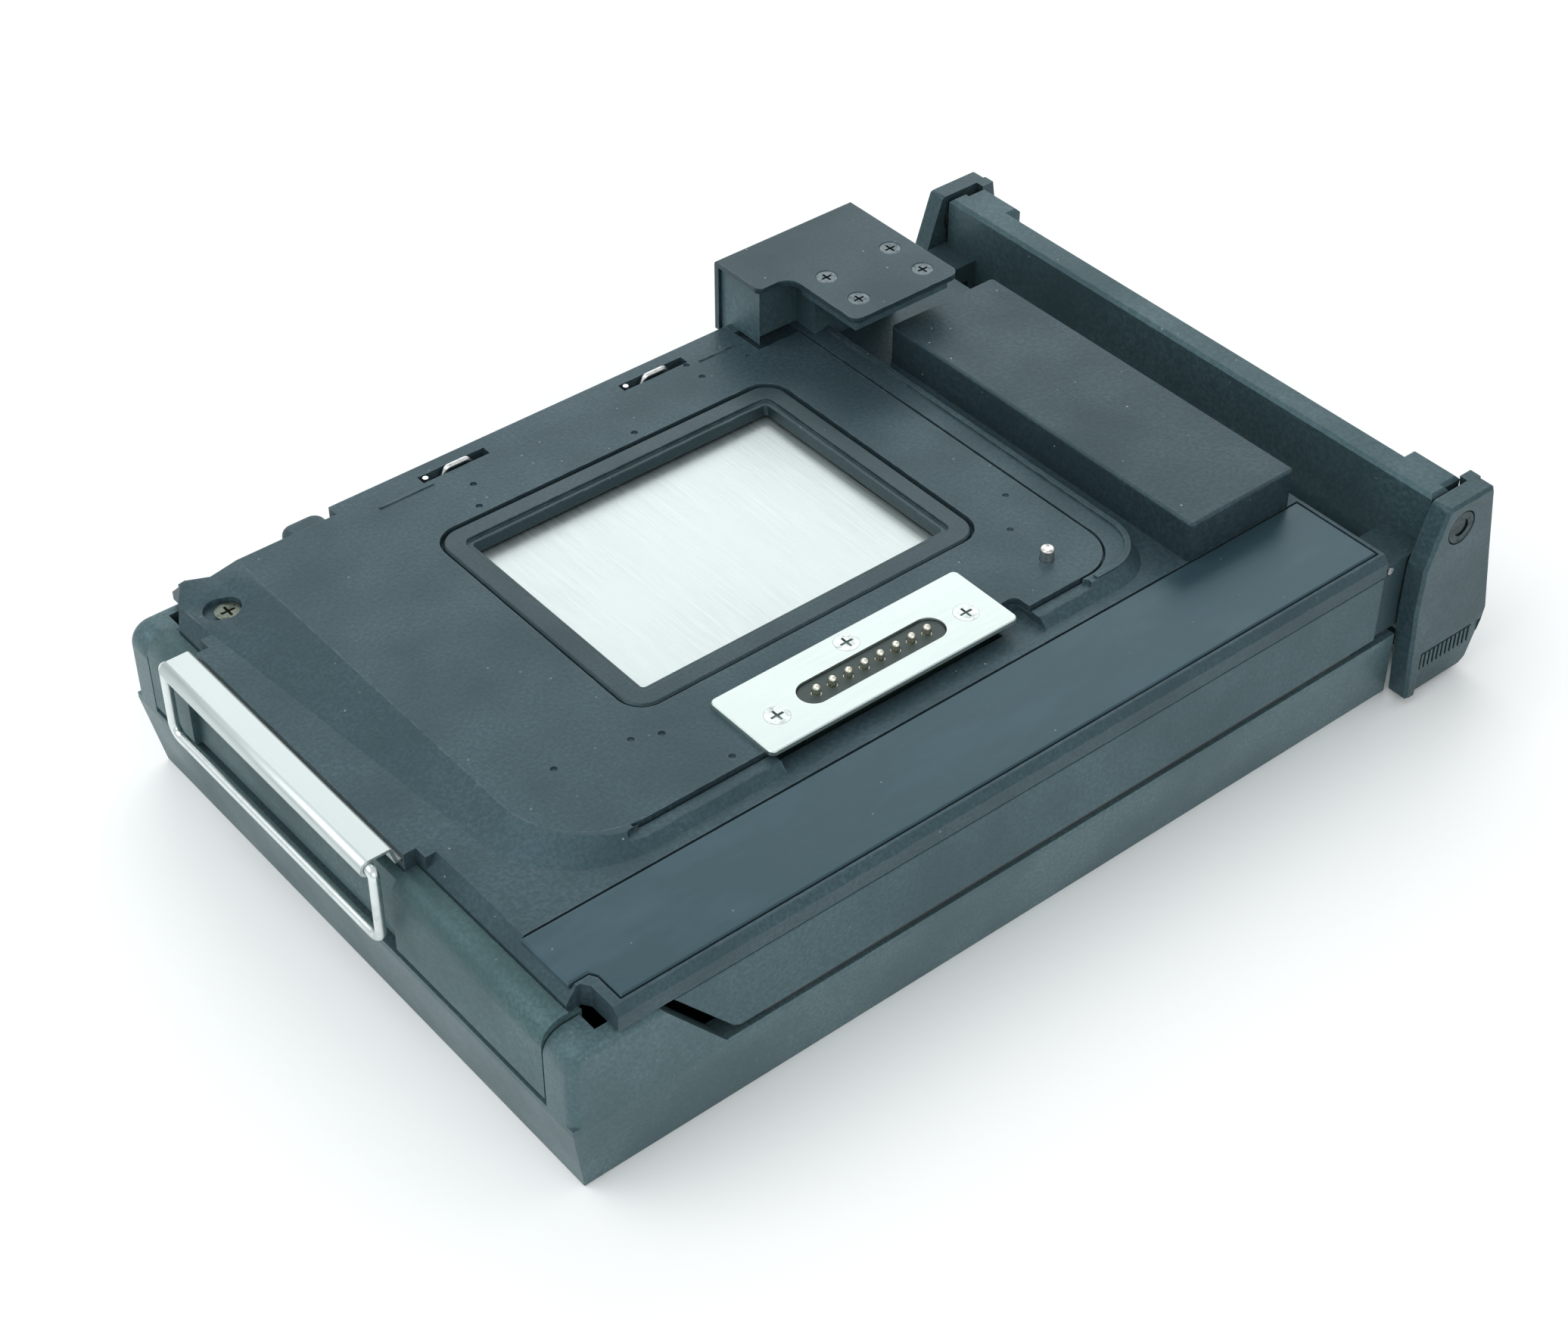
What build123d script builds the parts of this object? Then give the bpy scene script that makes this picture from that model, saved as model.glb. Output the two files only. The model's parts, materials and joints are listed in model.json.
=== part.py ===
from build123d import *
import os

# Instant pack-film back for a medium-format camera, lying on its rear door.
# Lengths are in millimetres. While the pieces are drawn, X is counted from the hinge-end face towards
# the roller end, Y from the middle plane towards the far side, and Z up from the face it lies on.

# ---- Driving dimensions ----
BODY_LENGTH = 150.5
HALF_WIDTH = 54.7
DOOR_RIM_Z = 13.6
PANEL_Z = 14.8
SEAM_Z = 27.2
COVER_Z = 31.0
PLATEAU_Z = 33.0
BLOCK_Z = 37.9
SIDE_BLOCK_Z = 44.0
WALL = 2.5
FIT = 0.05
SEAM_GAP = 0.3
PLATE_SEAM = 0.45

# Image opening and dark slide
APERTURE_X = (46.2, 102.2)
APERTURE_Y = (-9.5, 32.0)
APERTURE_RIM = 4.2
PLATE_THICKNESS = 1.2
SLIDE_CENTRE_Y = 11.5
SLIDE_WIDTH = 51.5
SLIDE_THICKNESS = 0.5
SLIDE_CLEARANCE = 0.2
SLIDE_Z = 29.55
SLIDE_END_X = 108.0
CHANNEL_Z = (29.4, 30.25)
CHANNEL_END_X = 110.5
SLIDE_SEAL_X = (5.0, 9.0)
SLIDE_SEAL_Z = 28.6
COLLAR_GROW = 1.3
LIGHT_PATH_GROW = 1.0
SLOT_LIP_X = 2.6
POCKET_MARGIN = 0.5
POCKET_DEPTH = 1.2

# Curl and wire handle of the dark slide
CURL_X = -2.4
CURL_Z = 31.2
CURL_RADIUS = 1.4
WIRE_RADIUS = 0.8
HANDLE_RAIL_Z = 18.6
HANDLE_BEND = 2.0
HANDLE_GRIP_IN_CURL = 9.0

# Plateau that meets the camera
PLATEAU_FOOT = (13.0, 123.4, -34.8, 52.3)
PLATEAU_TOP = (17.0, 123.0, -32.8, 52.3)
PLATE_OUTLINE = (17.0, 118.4, -31.0, 52.3)
PLATEAU_CORNER = 14.0
FOOT_SPREAD = 7.6
PLATE_RIGHT_CORNER = 7.0

# Catch slots, dimples and the cover's corner screw
CATCH_SLOTS = ((48.6, 60.8), (86.6, 99.2))
CATCH_SLOT_Y = (48.2, 50.0)
CATCH_FLOOR_Z = 30.6
CATCH_WIRE_RADIUS = 0.45
DIMPLES = ((54.3, 43.3), (51.9, 38.3), (81.1, 38.4), (98.5, 43.6), (98.5, 47.6), (107.9, 43.5), (114.8, -9.6),
           (109.7, -16.2), (38.1, -17.5), (42.1, -19.2), (46.7, -28.9), (26.5, -15.7))
DIMPLE_RADIUS = 0.55
DIMPLE_DEPTH = 0.3
PLATE_RIDGES = ((40.0, 49.7), (100.8, 107.8))
PLATE_RIDGE_Y = (47.0, 47.4)
COVER_SCREW = (10.8, 42.7)
COVER_SCREW_TOP_Z = 31.3
COVER_SCREW_TIP_Z = 28.4

# Outline details of the cover and pad
SLOT_SHOULDER_X = 4.6
NEAR_LEDGE_X = (26.5, 110.5)
NEAR_LEDGE_WIDTH = 1.9
FAR_CUT_X = 34.2
FAR_CUT_Y = 50.1
FAR_LUG_X = (26.2, 33.5)
FAR_LUG_Y = 54.4
BEAD_WIDTH = 0.9
BEAD_HEIGHT = 0.35
BEAD_START = (111.6, 45.0)

# Contact block
CONTACT_PLATE = (50.6, 96.2, -32.6, -18.7)
CONTACT_PLATE_TOP_Z = 33.8
CONTACT_POCKET = (52.8, 94.0, -31.8, -20.2)
CONTACT_POCKET_Z = 29.0
CONTACT_RECESS = (51.6, 99.7, -35.4, -28.0)
CONTACT_RECESS_Z = 30.9
CONTACT_ROW_Y = -26.4
CONTACT_FIRST_X = 63.6
CONTACT_PITCH = 2.92
CONTACT_COUNT = 8
CONTACT_PIN_RADIUS = 0.6
CONTACT_BARREL_RADIUS = 0.8
CONTACT_TIP_Z = 34.8
CONTACT_SCREWS = ((56.1, -27.0), (73.5, -21.2), (91.0, -27.0))
CONTACT_SCREW_TIP_Z = 30.2
CONTACT_BOARD_X = (58.9, 88.2)
CONTACT_BOARD_THICKNESS = 0.6
CONTACT_PIN_FOOT_Z = 31.5
CONTACT_SLOT_LENGTH = 26.4
CONTACT_SLOT_WIDTH = 5.0

# Interlock pin beside the contacts
INTERLOCK_X = 109.2
INTERLOCK_Y = -24.6
INTERLOCK_RADIUS = 1.1
INTERLOCK_TOP_Z = 35.0
INTERLOCK_FOOT_Z = 30.6
INTERLOCK_FLOOR_Z = 27.9

# Grip strip on the near side
STRIP_X = (5.6, 149.6)
STRIP_Y = (-53.0, -37.0)
STRIP_NOTCH = (9.6, -47.2)
STRIP_THICKNESS = 0.8

# Blocks over the roller end
HOUSING = (126.4, 148.3, -36.7, 30.2)
SIDE_BLOCK_X = (110.5, 138.8)
SIDE_BLOCK_Y = (27.9, 55.4)
SIDE_BLOCK_TAB = (116.8, 44.0)
SIDE_BLOCK_INSET = 3.2
SIDE_BLOCK_SLAB_Z = 41.0
SIDE_BLOCK_SHEET = 1.0
SIDE_BLOCK_SCREWS_X = (121.4, 134.8)
SIDE_BLOCK_SCREWS_Y = (32.4, 40.3)

# Rear door and its hinge
DOOR_END_X = 155.3
DOOR_FOOT_END_X = 157.3
DOOR_DRAFT_X = 2.2
DOOR_DRAFT_Y = 1.5
DOOR_KINK_Z = 12.6
DOOR_FLOOR = 2.5
DOOR_WELL_END_X = 146.5
DOOR_TONGUE_X = 164.8
DOOR_TONGUE_HALF_WIDTH = 44.0
DOOR_TONGUE_Z = 4.6
EAR_DEPTH = 5.7
EAR_LENGTH = 5.9
EAR_TOP_Z = 26.9
EAR_ROUND = 3.4
EAR_SLOPE = ((14.2, EAR_TOP_Z), (24.9, DOOR_RIM_Z))
HINGE_X = 3.4
HINGE_Z = 23.5
HINGE_RADIUS = 1.2

# Pack chamber
CHAMBER_HALF_WIDTH = 45.5
GATE_Z = 24.6
GATE_END_X = 127.0
END_PANEL_X = 6.5

SEAL_X = (32.0, 146.0)
SEAL_WIDTH = 1.2
PACK_SPRING_Y = 24.0
PACK_SPRING_X = (30.0, 100.0)
PACK_SPRING_HEIGHT = 8.0
PACK_SPRING_WIDTH = 14.0
PACK_SPRING_THICKNESS = 0.6

# Rollers
ROLLER_X = 155.4
ROLLER_RADIUS = 4.4
ROLLER_HALF_LENGTH = 45.5
ROLLER_LOW_Z = 9.7
ROLLER_HIGH_Z = 18.6
SHAFT_RADIUS = 2.0
CHEEK_Y = (46.5, 48.5)
CHEEK_X = (150.5, 160.0)
CHEEK_Z = (6.2, 28.2)
BEARING_SIZE = 6.2
BEARING_SLOT_TOP_Z = 24.8
BRACKET_Y = (49.7, 54.0)
BRACKET_Z = (14.8, 28.2)
BRACKET_PIN_X = 152.1
BRACKET_PIN_Z = 27.2
BRACKET_PIN_RADIUS = 0.6

# Cross bar and latch
BAR_X = (160.0, 165.0)
BAR_Z = (18.6, 36.9)
BAR_HALF_WIDTH = 52.8
BAR_FRONT_HALF_WIDTH = 53.6
BAR_FRONT_X = 163.8
BAR_END_X = 167.3
BAR_END_LENGTH = 9.0
PIVOT_X = 162.7
PIVOT_Z = 32.4
PIVOT_RADIUS = 2.0
PIVOT_HEAD_RADIUS = 2.7
ARM_OUTER_Y = 57.9
ARM_THICKNESS = 3.5
ARM_TOP_Z = 37.1
ARM_BOTTOM_Z = 1.0
ARM_REAR = ((169.4, ARM_TOP_Z), (171.4, 24.6), (173.6, 11.8), (171.6, 1.9))
ARM_FRONT = ((156.8, ARM_BOTTOM_Z), (156.1, 10.6), (155.6, 19.0), (155.8, 27.0), (159.2, ARM_TOP_Z))
FLANGE_INNER_Y = 52.9
FLANGE_THICKNESS = 2.4
GRIP_X = (158.6, 172.6)
GRIP_TOP_Z = 9.8
GRIP_DEPTH = (0.35, 1.1)
RIB_COUNT = 12
RIB_PITCH = 1.0
RIB_WIDTH = 0.5
RIB_Z = (6.2, 9.3)

# Reach of cuts that run clear of the object
BELOW = -10.0
ABOVE = 60.0

# The finished part's origin is the middle of its footprint.
ORIGIN_X = ((CURL_X - CURL_RADIUS) + ARM_REAR[2][0]) / 2


# ---- Drawing helpers ----
def block(x0, x1, y0, y1, z0, z1):
    """A box between two corners."""
    return Pos((x0 + x1) / 2, (y0 + y1) / 2, (z0 + z1) / 2) * Box(x1 - x0, y1 - y0, z1 - z0)


def rounded_block(x0, x1, y0, y1, z0, z1, radius):
    """A box with rounded upright edges."""
    face = Pos((x0 + x1) / 2, (y0 + y1) / 2, z0) * RectangleRounded(x1 - x0, y1 - y0, radius)
    return extrude(face, amount=z1 - z0)


def post(x, y, z0, z1, radius):
    """An upright cylinder."""
    return Pos(x, y, (z0 + z1) / 2) * Cylinder(radius, z1 - z0)


def shaft(x, z, y0, y1, radius):
    """A cylinder along Y."""
    return Pos(x, (y0 + y1) / 2, z) * Rot(90, 0, 0) * Cylinder(radius, abs(y1 - y0))


def plan_prism(points, z0, z1):
    """A prism with its outline in plan."""
    return extrude(Pos(0, 0, z0) * make_face(Polyline(*points, close=True)), amount=z1 - z0)


def side_prism(points, y0, y1):
    """A prism with its outline in the XZ plane, from y0 to y1."""
    plane = Plane(origin=(0, y1, 0), x_dir=(1, 0, 0), z_dir=(0, -1, 0))
    return extrude(plane * make_face(Polyline(*points, close=True)), amount=y1 - y0)


def far_side(shape):
    """The mirror image of a near-side piece."""
    return mirror(shape, about=Plane.XZ)


def phillips_screw(x, y, top_z, head_radius, shank_radius, tip_z):
    """A countersunk screw with a cross recess, flush at top_z."""
    cone_height = head_radius - shank_radius
    head = Pos(x, y, top_z - cone_height / 2) * Cone(shank_radius, head_radius, cone_height)
    screw = head + post(x, y, tip_z, top_z - cone_height / 2, shank_radius)
    arm = head_radius * 0.58
    width = head_radius * 0.11
    depth = cone_height * 0.7
    screw -= block(x - arm, x + arm, y - width, y + width, top_z - depth, top_z + 1)
    screw -= block(x - width, x + width, y - arm, y + arm, top_z - depth, top_z + 1)
    return screw


def countersink(x, y, top_z, head_radius, shank_radius, tip_z):
    """The space that a countersunk screw fills."""
    cone_height = head_radius - shank_radius
    head = Pos(x, y, top_z - cone_height / 2) * Cone(shank_radius, head_radius, cone_height)
    return head + post(x, y, tip_z, top_z, shank_radius)


# ---- Outlines shared by several pieces ----
def plateau_face(corners, left_radius, right_radius, spread=0):
    """A plan outline with a large near-left corner and a smaller near-right one.

    Its far-left corner is moved towards the hinge end by spread.
    """
    x0, x1, y0, y1 = corners
    face = make_face(Polyline((x0, y0), (x1, y0), (x1, y1), (x0 - spread, y1), close=True))
    near = face.vertices().group_by(Axis.Y)[0].sort_by(Axis.X)
    face = fillet(near[0], left_radius)
    right = face.vertices().group_by(Axis.Y)[0].sort_by(Axis.X)[-1]
    return fillet(right, right_radius)


def mount_plate_blank():
    """The camera-side plate before its openings are cut."""
    face = plateau_face(PLATE_OUTLINE, PLATEAU_CORNER, PLATE_RIGHT_CORNER)
    plate = extrude(Pos(0, 0, PLATEAU_Z - PLATE_THICKNESS) * face, amount=PLATE_THICKNESS)
    tab_x, tab_y = SIDE_BLOCK_X[0] - 0.4, SIDE_BLOCK_TAB[1] - 0.4
    return plate - block(tab_x, 130, tab_y, 60, 30, 40)


def strip_points(margin):
    """Outline of the grip strip, grown by a margin."""
    x0, x1 = STRIP_X[0] - margin, STRIP_X[1] + margin
    y0, y1 = STRIP_Y[0] - margin, STRIP_Y[1] + margin
    notch_x, notch_y = STRIP_NOTCH[0] - margin, STRIP_NOTCH[1] - margin
    return [(notch_x, y0), (x1, y0), (x1, y1), (x0, y1), (x0, notch_y), (notch_x - 0.6, notch_y),
            (notch_x, notch_y - 1)]


def contact_pin_x(index):
    return CONTACT_FIRST_X + CONTACT_PITCH * index


def contact_slot(grow, z0, z1):
    """The round-ended slot for the contact row."""
    middle = (contact_pin_x(0) + contact_pin_x(CONTACT_COUNT - 1)) / 2
    face = SlotOverall(CONTACT_SLOT_LENGTH + 2 * grow, CONTACT_SLOT_WIDTH + 2 * grow)
    return extrude(Pos(middle, CONTACT_ROW_Y, z0) * face, amount=z1 - z0)


def plateau_cuts():
    """Everything that is cut down through the plateau and its plate."""
    cuts = block(*CONTACT_POCKET, CONTACT_POCKET_Z, ABOVE)
    for x, y in CONTACT_SCREWS:
        cuts -= post(x, y, CONTACT_POCKET_Z - 1, PLATEAU_Z, 2.2)
    for slot_x0, slot_x1 in CATCH_SLOTS:
        cuts += block(slot_x0, slot_x1, *CATCH_SLOT_Y, CATCH_FLOOR_Z, ABOVE)
    cuts += post(INTERLOCK_X, INTERLOCK_Y, INTERLOCK_FLOOR_Z, ABOVE, INTERLOCK_RADIUS + FIT)
    recess = rounded_block(*CONTACT_RECESS, CONTACT_RECESS_Z, ABOVE, 1.2)
    return cuts + recess


# ---- Camera side ----
def cover_outline():
    """Plan of the front cover, with the notches over the two hinge ears."""
    near, far = -HALF_WIDTH, HALF_WIDTH
    slot_near = SLIDE_CENTRE_Y - SLIDE_WIDTH / 2 - POCKET_MARGIN
    slot_far = SLIDE_CENTRE_Y + SLIDE_WIDTH / 2 + POCKET_MARGIN
    shoulder = SLOT_SHOULDER_X
    return [(7.8, near), (BODY_LENGTH, near), (BODY_LENGTH, far), (8.2, far), (8.2, 51.8), (shoulder, 46.6),
            (shoulder, slot_far), (SLOT_LIP_X, slot_far), (SLOT_LIP_X, slot_near), (shoulder, slot_near),
            (shoulder, -48.0), (7.0, -48.0), (7.8, -49.2)]


def plateau():
    """Raised pad with sloping flanks that meets the camera."""
    foot = Pos(0, 0, COVER_Z) * plateau_face(PLATEAU_FOOT, PLATEAU_CORNER + 3, PLATE_RIGHT_CORNER + 1, FOOT_SPREAD)
    top = Pos(0, 0, PLATEAU_Z) * plateau_face(PLATEAU_TOP, PLATEAU_CORNER + 1.8, PLATE_RIGHT_CORNER + 1)
    pad = loft([foot.faces()[0], top.faces()[0]], ruled=True)
    return pad & plan_prism(cover_outline(), COVER_Z, PLATEAU_Z)


def lip_bead():
    """Low bead along the pad's roller-end edge and round its near corner."""
    x0, x1, y0, y1 = PLATEAU_TOP
    outer = plateau_face(PLATEAU_TOP, PLATEAU_CORNER + 1.8, PLATE_RIGHT_CORNER + 1)
    inner_corners = (x0, x1 - BEAD_WIDTH, y0 + BEAD_WIDTH, y1)
    inner = plateau_face(inner_corners, PLATEAU_CORNER + 1.8, PLATE_RIGHT_CORNER + 0.1)
    ring = extrude(Pos(0, 0, PLATEAU_Z - 0.1) * (outer - inner), amount=BEAD_HEIGHT + 0.1)
    return ring & block(BEAD_START[0], BODY_LENGTH, -HALF_WIDTH, BEAD_START[1], SEAM_Z, ABOVE)


def near_ledge():
    """Shallow round-ended ledge along the pad's near slope."""
    x0, x1 = NEAR_LEDGE_X
    middle_y = PLATE_OUTLINE[2] - PLATE_SEAM - NEAR_LEDGE_WIDTH / 2 + 0.05
    face = SlotOverall(x1 - x0, NEAR_LEDGE_WIDTH)
    return extrude(Pos((x0 + x1) / 2, middle_y, PLATEAU_Z - 0.7) * face, amount=3)


def far_left_cut(low_z):
    """The far side is cut back beside the hinge-end corner tab."""
    points = [(12.4, FAR_CUT_Y), (FAR_CUT_X, FAR_CUT_Y), (FAR_CUT_X, 60), (9.4, 60), (9.4, 52.2)]
    return plan_prism(points, low_z, 40)


def far_lug():
    """Rounded lug that stands in the cut-back far edge."""
    lug = block(*FAR_LUG_X, FAR_CUT_Y - 1, FAR_LUG_Y, SEAM_Z, PLATEAU_Z - PLATE_THICKNESS)
    lug = fillet(lug.edges().filter_by(Axis.Z).group_by(Axis.Y)[-1], 2.0)
    return fillet(lug.edges().group_by(Axis.Z)[-1].sort_by(Axis.Y)[1:], 1.2)


def front_cover():
    shell = plan_prism(cover_outline(), SEAM_Z, COVER_Z)
    shell -= side_chamfer_cut()
    shell += plateau() + lip_bead()
    shell -= mount_plate_blank()
    shell -= seam_groove()
    shell -= near_ledge()
    shell -= plateau_cuts()
    shell -= far_left_cut(SEAM_Z - 1)
    shell += far_lug()
    shell -= block(BODY_LENGTH - 34, BODY_LENGTH - 3, -HALF_WIDTH + 3, HALF_WIDTH - 3, SEAM_Z - 1, 29)
    slide_y = (SLIDE_CENTRE_Y - SLIDE_WIDTH / 2 - SLIDE_CLEARANCE, SLIDE_CENTRE_Y + SLIDE_WIDTH / 2 + SLIDE_CLEARANCE)
    shell -= block(0, CHANNEL_END_X, *slide_y, *CHANNEL_Z)
    shell -= block(*SLIDE_SEAL_X, slide_y[0] + 1, slide_y[1] - 1, SLIDE_SEAL_Z, CHANNEL_Z[0])
    shell -= aperture_block(COLLAR_GROW, CHANNEL_Z[1] - 0.01, ABOVE)
    shell -= aperture_block(LIGHT_PATH_GROW, SEAM_Z - 1, CHANNEL_Z[0] + 0.01)
    shell -= plan_prism(strip_points(SEAM_GAP), COVER_Z - STRIP_THICKNESS, COVER_Z + 1)
    shell -= countersink(*COVER_SCREW, COVER_SCREW_TOP_Z + 0.05, 2.05, 1.0, COVER_SCREW_TIP_Z - 0.1)
    recess = Pos(COVER_SCREW[0] - 0.6, COVER_SCREW[1] + 0.5, COVER_SCREW_TOP_Z - 0.6) * Rot(0, 0, -35)
    shell -= extrude(recess * SlotOverall(5.8, 4.3), amount=5)
    for x, y in CONTACT_SCREWS:
        shell -= countersink(x, y, CONTACT_PLATE_TOP_Z + 0.01, 1.95, 0.92, CONTACT_SCREW_TIP_Z - 0.1)
    return shell


def side_chamfer_cut():
    """Bevels along the cover's far edge, hinge end and near edge."""
    far = side_bevel(HALF_WIDTH, 2.4, 2.4)
    near = side_bevel(-HALF_WIDTH, -1.0, 1.3)
    wedge = [(4.0, COVER_Z + 0.01), (6.4, COVER_Z + 0.01), (SLOT_SHOULDER_X - 0.01, 28.6), (4.0, 28.6)]
    hinge_end = side_prism(wedge, -60, -17) + side_prism(wedge, 40, 60)
    return far + near + hinge_end


def side_bevel(y, inward, drop):
    """A triangular cut along X at the cover's top edge."""
    outline = [(y, COVER_Z - drop), (y, COVER_Z + 0.01), (y - inward, COVER_Z + 0.01)]
    plane = Plane(origin=(-5, 0, 0), x_dir=(0, 1, 0), z_dir=(1, 0, 0))
    return extrude(plane * make_face(Polyline(*outline, close=True)), amount=BODY_LENGTH + 10)


def seam_groove():
    """A fine groove outside the plate's right and near edges."""
    x0, x1, y0, y1 = PLATE_OUTLINE
    grown = (x0 - 1, x1 + PLATE_SEAM, y0 - PLATE_SEAM, y1)
    outer = plateau_face(grown, PLATEAU_CORNER, PLATE_RIGHT_CORNER + PLATE_SEAM)
    ring = extrude(Pos(0, 0, PLATEAU_Z - PLATE_THICKNESS) * outer, amount=3)
    keep = block(28, 140, -60, 50, 30, 40)
    return ring & keep


def aperture_block(grow, z0, z1):
    """The image opening, grown all round."""
    x0, x1 = APERTURE_X[0] - grow, APERTURE_X[1] + grow
    y0, y1 = APERTURE_Y[0] - grow, APERTURE_Y[1] + grow
    return rounded_block(x0, x1, y0, y1, z0, z1, 0.6 + grow * 0.8)


def mount_plate():
    plate = mount_plate_blank() - plateau_cuts() - aperture_block(APERTURE_RIM + PLATE_SEAM, BELOW, ABOVE)
    plate -= block(*CONTACT_POCKET, BELOW, ABOVE)
    plate -= far_left_cut(BELOW)
    for x, y in DIMPLES:
        plate -= post(x, y, PLATEAU_Z - DIMPLE_DEPTH, ABOVE, DIMPLE_RADIUS)
    for x0, x1 in PLATE_RIDGES:
        plate += block(x0, x1, *PLATE_RIDGE_Y, PLATEAU_Z - 0.1, PLATEAU_Z + 0.2)
    return plate


def aperture_frame():
    top_z = PLATEAU_Z - 0.1
    ring = aperture_block(APERTURE_RIM, PLATEAU_Z - PLATE_THICKNESS, top_z)
    ring += aperture_block(COLLAR_GROW, CHANNEL_Z[1] + 0.05, top_z)
    rim_edges = ring.edges().filter_by(Plane.XY).group_by(Axis.Z)[-1]
    ring = chamfer(rim_edges, 0.35)
    ring -= aperture_block(1.0, top_z - 0.5, ABOVE)
    return ring - aperture_block(0, BELOW, ABOVE)


def grip_strip():
    strip = plan_prism(strip_points(0), COVER_Z - STRIP_THICKNESS, COVER_Z + 0.15)
    return chamfer(strip.edges().filter_by(Plane.XY).group_by(Axis.Z)[-1], 0.2)


def cover_screw():
    return phillips_screw(*COVER_SCREW, COVER_SCREW_TOP_Z, 2.0, 0.95, COVER_SCREW_TIP_Z)


# ---- Contacts and interlock ----
def contact_plate():
    x0, x1, y0, y1 = CONTACT_PLATE
    plate = rounded_block(x0, x1, y0, y1, PLATEAU_Z, CONTACT_PLATE_TOP_Z, 1.0)
    plate = chamfer(plate.edges().filter_by(Plane.XY).group_by(Axis.Z)[-1], 0.15)
    plate -= contact_slot(0, BELOW, ABOVE)
    for x, y in CONTACT_SCREWS:
        plate -= countersink(x, y, CONTACT_PLATE_TOP_Z + 0.01, 1.95, 1.2, SEAM_Z)
    return plate


def contact_screws():
    return [phillips_screw(x, y, CONTACT_PLATE_TOP_Z, 1.9, 0.9, CONTACT_SCREW_TIP_Z) for x, y in CONTACT_SCREWS]


def contact_insulator():
    body = contact_slot(-0.15, CONTACT_POCKET_Z + CONTACT_BOARD_THICKNESS, CONTACT_PLATE_TOP_Z - 0.45)
    for index in range(CONTACT_COUNT):
        body -= post(contact_pin_x(index), CONTACT_ROW_Y, BELOW, ABOVE, CONTACT_BARREL_RADIUS)
    return body


def contact_board():
    pocket_y0, pocket_y1 = CONTACT_POCKET[2:]
    top_z = CONTACT_POCKET_Z + CONTACT_BOARD_THICKNESS
    return block(*CONTACT_BOARD_X, pocket_y0 + 2, pocket_y1 - 4, CONTACT_POCKET_Z, top_z)


def contact_pin(index):
    x = contact_pin_x(index)
    tip = Pos(x, CONTACT_ROW_Y, CONTACT_TIP_Z - CONTACT_PIN_RADIUS) * Sphere(CONTACT_PIN_RADIUS)
    return tip + post(x, CONTACT_ROW_Y, CONTACT_PIN_FOOT_Z, CONTACT_TIP_Z - CONTACT_PIN_RADIUS, CONTACT_PIN_RADIUS)


def contact_barrels():
    """Closed sleeves that the contact pins run in."""
    low = CONTACT_POCKET_Z + CONTACT_BOARD_THICKNESS
    high = CONTACT_PLATE_TOP_Z - 0.6
    barrels = []
    for index in range(CONTACT_COUNT):
        x = contact_pin_x(index)
        sleeve = post(x, CONTACT_ROW_Y, low, high, CONTACT_BARREL_RADIUS)
        barrels.append(sleeve - post(x, CONTACT_ROW_Y, low + 0.5, ABOVE, CONTACT_PIN_RADIUS + FIT))
    return barrels


def interlock_pin():
    pin = post(INTERLOCK_X, INTERLOCK_Y, INTERLOCK_FOOT_Z, INTERLOCK_TOP_Z, INTERLOCK_RADIUS)
    return fillet(pin.edges().group_by(Axis.Z)[-1], 0.35)


def interlock_spring():
    sleeve = post(INTERLOCK_X, INTERLOCK_Y, INTERLOCK_FLOOR_Z, INTERLOCK_FOOT_Z, 0.95)
    return sleeve - post(INTERLOCK_X, INTERLOCK_Y, BELOW, ABOVE, 0.6)


def catch_spring(slot_x0):
    """A bent wire that holds the camera's hook in its slot."""
    y = (CATCH_SLOT_Y[0] + CATCH_SLOT_Y[1]) / 2
    points = [(slot_x0 + 0.9, y, 33.1), (slot_x0 + 0.9, y, 31.2), (slot_x0 + 3.6, y, 31.2), (slot_x0 + 4.8, y, 33.2),
              (slot_x0 + 8.4, y, 33.2), (slot_x0 + 9.6, y, 31.4)]
    path = FilletPolyline(*points, radius=0.55)
    section = Plane(origin=path @ 0, z_dir=path % 0) * Circle(CATCH_WIRE_RADIUS)
    return sweep(section, path=path)


# ---- Blocks over the roller end ----
def roller_housing():
    x0, x1, y0, y1 = HOUSING
    shell = rounded_block(x0, x1, y0, y1, COVER_Z, BLOCK_Z, 0.8)
    shell = fillet(shell.edges().filter_by(Plane.XY).group_by(Axis.Z)[-1], 0.5)
    return shell - block(x0 + WALL, x1 - WALL, y0 + WALL, y1 - WALL, COVER_Z - 1, BLOCK_Z - WALL)


def side_block_core():
    """Body under the folded cover: a slab that takes the screws, on a foot set back under it."""
    x0, x1 = SIDE_BLOCK_X
    y0, y1 = SIDE_BLOCK_Y
    tab_x, tab_y = SIDE_BLOCK_TAB
    top_z = SIDE_BLOCK_Z - SIDE_BLOCK_SHEET
    inner_far = min(y1 - SIDE_BLOCK_SHEET, HALF_WIDTH)
    foot_x = tab_x + SIDE_BLOCK_INSET
    foot_y = tab_y - 2.5
    points = [(foot_x, foot_y), (x1 - 1.5, foot_y), (x1 - 1.5, inner_far), (x0 + 0.6, inner_far),
              (x0 + 0.6, tab_y + 0.6), (x0 + 1.6, tab_y + 2.4), (foot_x, tab_y + 2.4)]
    core = plan_prism(points, COVER_Z, top_z) - plateau() - lip_bead()
    core -= block(tab_x + 7, x1 - 5, 45, inner_far - 3, COVER_Z - 1, 40)
    core += block(tab_x + 1.2, x1 - 1.5, y0 + 1.2, foot_y + 1, SIDE_BLOCK_SLAB_Z, top_z)
    for x in SIDE_BLOCK_SCREWS_X:
        for y in SIDE_BLOCK_SCREWS_Y:
            core -= post(x, y, SIDE_BLOCK_SLAB_Z - 1, 50, 1.0)
    return core


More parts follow.
